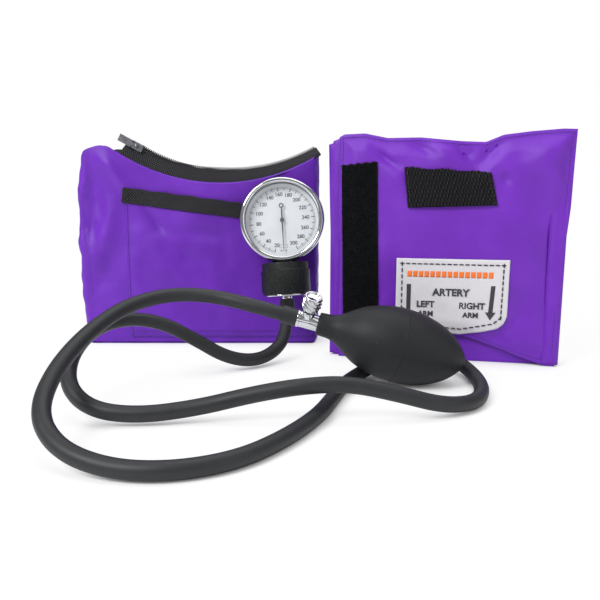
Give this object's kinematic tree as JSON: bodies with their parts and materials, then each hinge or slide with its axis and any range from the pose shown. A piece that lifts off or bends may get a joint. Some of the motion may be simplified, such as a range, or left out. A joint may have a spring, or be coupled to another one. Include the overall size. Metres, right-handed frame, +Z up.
{
  "type": "blood pressure cuff set",
  "caption": "Aneroid blood pressure set: a folded purple arm cuff with a dial gauge, squeeze bulb, release valve, rubber hoses and a zip carry case.",
  "frame": {"origin": "on the table under the middle of the set without its hoses", "axes": "+X to the right seen from the front, +Y away from the viewer, +Z up"},
  "size_m": [0.3139, 0.2716, 0.147],
  "materials": {
    "purple_nylon": "woven nylon, satin",
    "black_webbing": "ribbed webbing",
    "hook_and_loop": "fuzzy",
    "woven_label": "satin",
    "black_rubber": "matte",
    "chrome": "polished",
    "clear_lens": "clear",
    "black_crackle_paint": "crackle",
    "white_dial": "satin",
    "black_pointer": "satin",
    "brass": "turned",
    "zip_coil": "moulded",
    "gunmetal": "plated"
  },
  "bodies": {
    "cuff": {"cuff_front_skin": "purple_nylon", "bladder": "black_rubber", "cuff_front_lining": "purple_nylon", "hook_strip": "hook_and_loop", "gauge_strap": "black_webbing", "artery_label": "woven_label", "bulb_port": "black_rubber", "bulb_port_hose_end": "black_rubber", "gauge_port": "black_rubber", "gauge_port_hose_end": "black_rubber", "bulb_hose": "black_rubber", "gauge_hose": "black_rubber", "gauge_bezel": "chrome", "gauge_lens": "clear_lens", "lens_gasket": "black_rubber", "gauge_case": "black_crackle_paint", "dial_ring": "white_dial", "dial_plate": "white_dial", "movement_front_plate": "brass", "movement_back_plate": "brass", "movement_pillars": "brass", "bellows_capsule": "brass", "gauge_base": "chrome", "gauge_nipple": "chrome", "gauge_hose_end": "black_rubber", "gauge_clip": "chrome", "bulb_body": "black_rubber", "valve_body": "chrome", "delivery_seat": "chrome", "bulb_hose_end": "black_rubber", "intake_valve": "chrome"},
    "pointer": {"pointer": "black_pointer", "pointer_arbor": "brass", "hairspring": "brass"},
    "sector": {"sector_gear": "brass"},
    "push_rod": {"push_rod": "brass"},
    "needle": {"release_needle": "chrome"},
    "thumbscrew": {"thumbscrew": "chrome"},
    "delivery_disc": {"delivery_disc": "black_rubber"},
    "intake_ball": {"intake_ball": "chrome"},
    "bulb_thumb_wall": {"bulb_thumb_wall": "black_rubber"},
    "second_fold": {"cuff_second_fold": "purple_nylon"},
    "third_fold": {"cuff_third_fold": "purple_nylon"},
    "end_fold": {"cuff_end_fold": "purple_nylon", "loop_patch": "hook_and_loop"},
    "case": {"case_front": "purple_nylon", "case_back": "purple_nylon", "case_bottom": "purple_nylon", "case_left_end": "purple_nylon", "case_right_end": "purple_nylon", "front_pocket": "purple_nylon", "pocket_webbing": "black_webbing", "zip_tape_front": "black_webbing", "zip_tape_back": "black_webbing", "zip_coil_front": "zip_coil", "zip_coil_back": "zip_coil"},
    "zip_slider": {"zip_slider": "gunmetal"},
    "zip_pull": {"zip_pull": "gunmetal"}
  },
  "joints": [
    {"name": "sector_swing", "type": "hinge", "parent": "cuff", "child": "sector", "pos_m": [-0.01575, 0.00623, 0.07261], "axis": [0, -0.9848, 0.1736], "range_deg": [0, 42]},
    {"name": "pointer_turn", "type": "hinge", "parent": "cuff", "child": "pointer", "pos_m": [-0.01685, 0.00935, 0.0903], "axis": [0, 0.9848, -0.1736], "range_deg": [0, 336], "deforming": ["hairspring"]},
    {"name": "push_rod_lift", "type": "slide", "parent": "cuff", "child": "push_rod", "axis": [-0.061, 0.1733, 0.983], "range_m": [0, 0.00307]},
    {"name": "needle_travel", "type": "slide", "parent": "cuff", "child": "needle", "axis": [0.2121, -0.4327, 0.8762], "range_m": [0, 0.0016]},
    {"name": "thumbscrew_turn", "type": "hinge", "parent": "needle", "child": "thumbscrew", "pos_m": [0.00109, -0.06319, 0.04517], "axis": [0.2121, -0.4327, 0.8762], "range_deg": [0, 720]},
    {"name": "delivery_disc_lift", "type": "slide", "parent": "cuff", "child": "delivery_disc", "axis": [-0.9658, 0.0439, 0.2554], "range_m": [0, 0.0015]},
    {"name": "intake_ball_lift", "type": "slide", "parent": "cuff", "child": "intake_ball", "axis": [-0.9658, 0.0439, 0.2554], "range_m": [0, 0.0012]},
    {"name": "bulb_squeeze", "type": "slide", "parent": "cuff", "child": "bulb_thumb_wall", "axis": [-0.2552, 0.0116, -0.9668], "range_m": [0, 0.012], "stiffness_N_per_m": 400, "deforming": ["bulb_thumb_wall"]},
    {"name": "second_fold_open", "type": "hinge", "parent": "cuff", "child": "second_fold", "pos_m": [0.15491, -0.02306, 0], "axis": [0, 0, -1], "range_deg": [0, 176]},
    {"name": "third_fold_open", "type": "hinge", "parent": "second_fold", "child": "third_fold", "pos_m": [0.01624, 0.00766, 0], "axis": [0, 0, -1], "range_deg": [-176, 0]},
    {"name": "end_fold_open", "type": "hinge", "parent": "third_fold", "child": "end_fold", "pos_m": [0.15616, -0.01678, 0], "axis": [0, 0, -1], "range_deg": [0, 176]},
    {"name": "case_set_back", "type": "slide", "parent": "cuff", "child": "case", "axis": [0, 1, 0], "range_m": [0, 0.15]},
    {"name": "zip_slide", "type": "hinge", "parent": "case", "child": "zip_slider", "pos_m": [-0.05995, 0.03635, 0.244], "axis": [0, -1, 0], "range_deg": [0, 57]},
    {"name": "zip_pull_swing", "type": "hinge", "parent": "zip_slider", "child": "zip_pull", "pos_m": [-0.11719, 0.03715, 0.13859], "axis": [-0.4772, 0, -0.8788], "range_deg": [-150, 0]}
  ],
  "couplings": [
    {"joint": "pointer_turn", "follows": "sector_swing", "ratio": 8},
    {"joint": "push_rod_lift", "follows": "sector_swing", "m_per_rad": 0.0041893},
    {"joint": "thumbscrew_turn", "follows": "needle_travel", "rad_per_m": 7853.9},
    {"joint": "third_fold_open", "follows": "second_fold_open", "ratio": -1},
    {"joint": "end_fold_open", "follows": "second_fold_open", "ratio": 1}
  ]
}
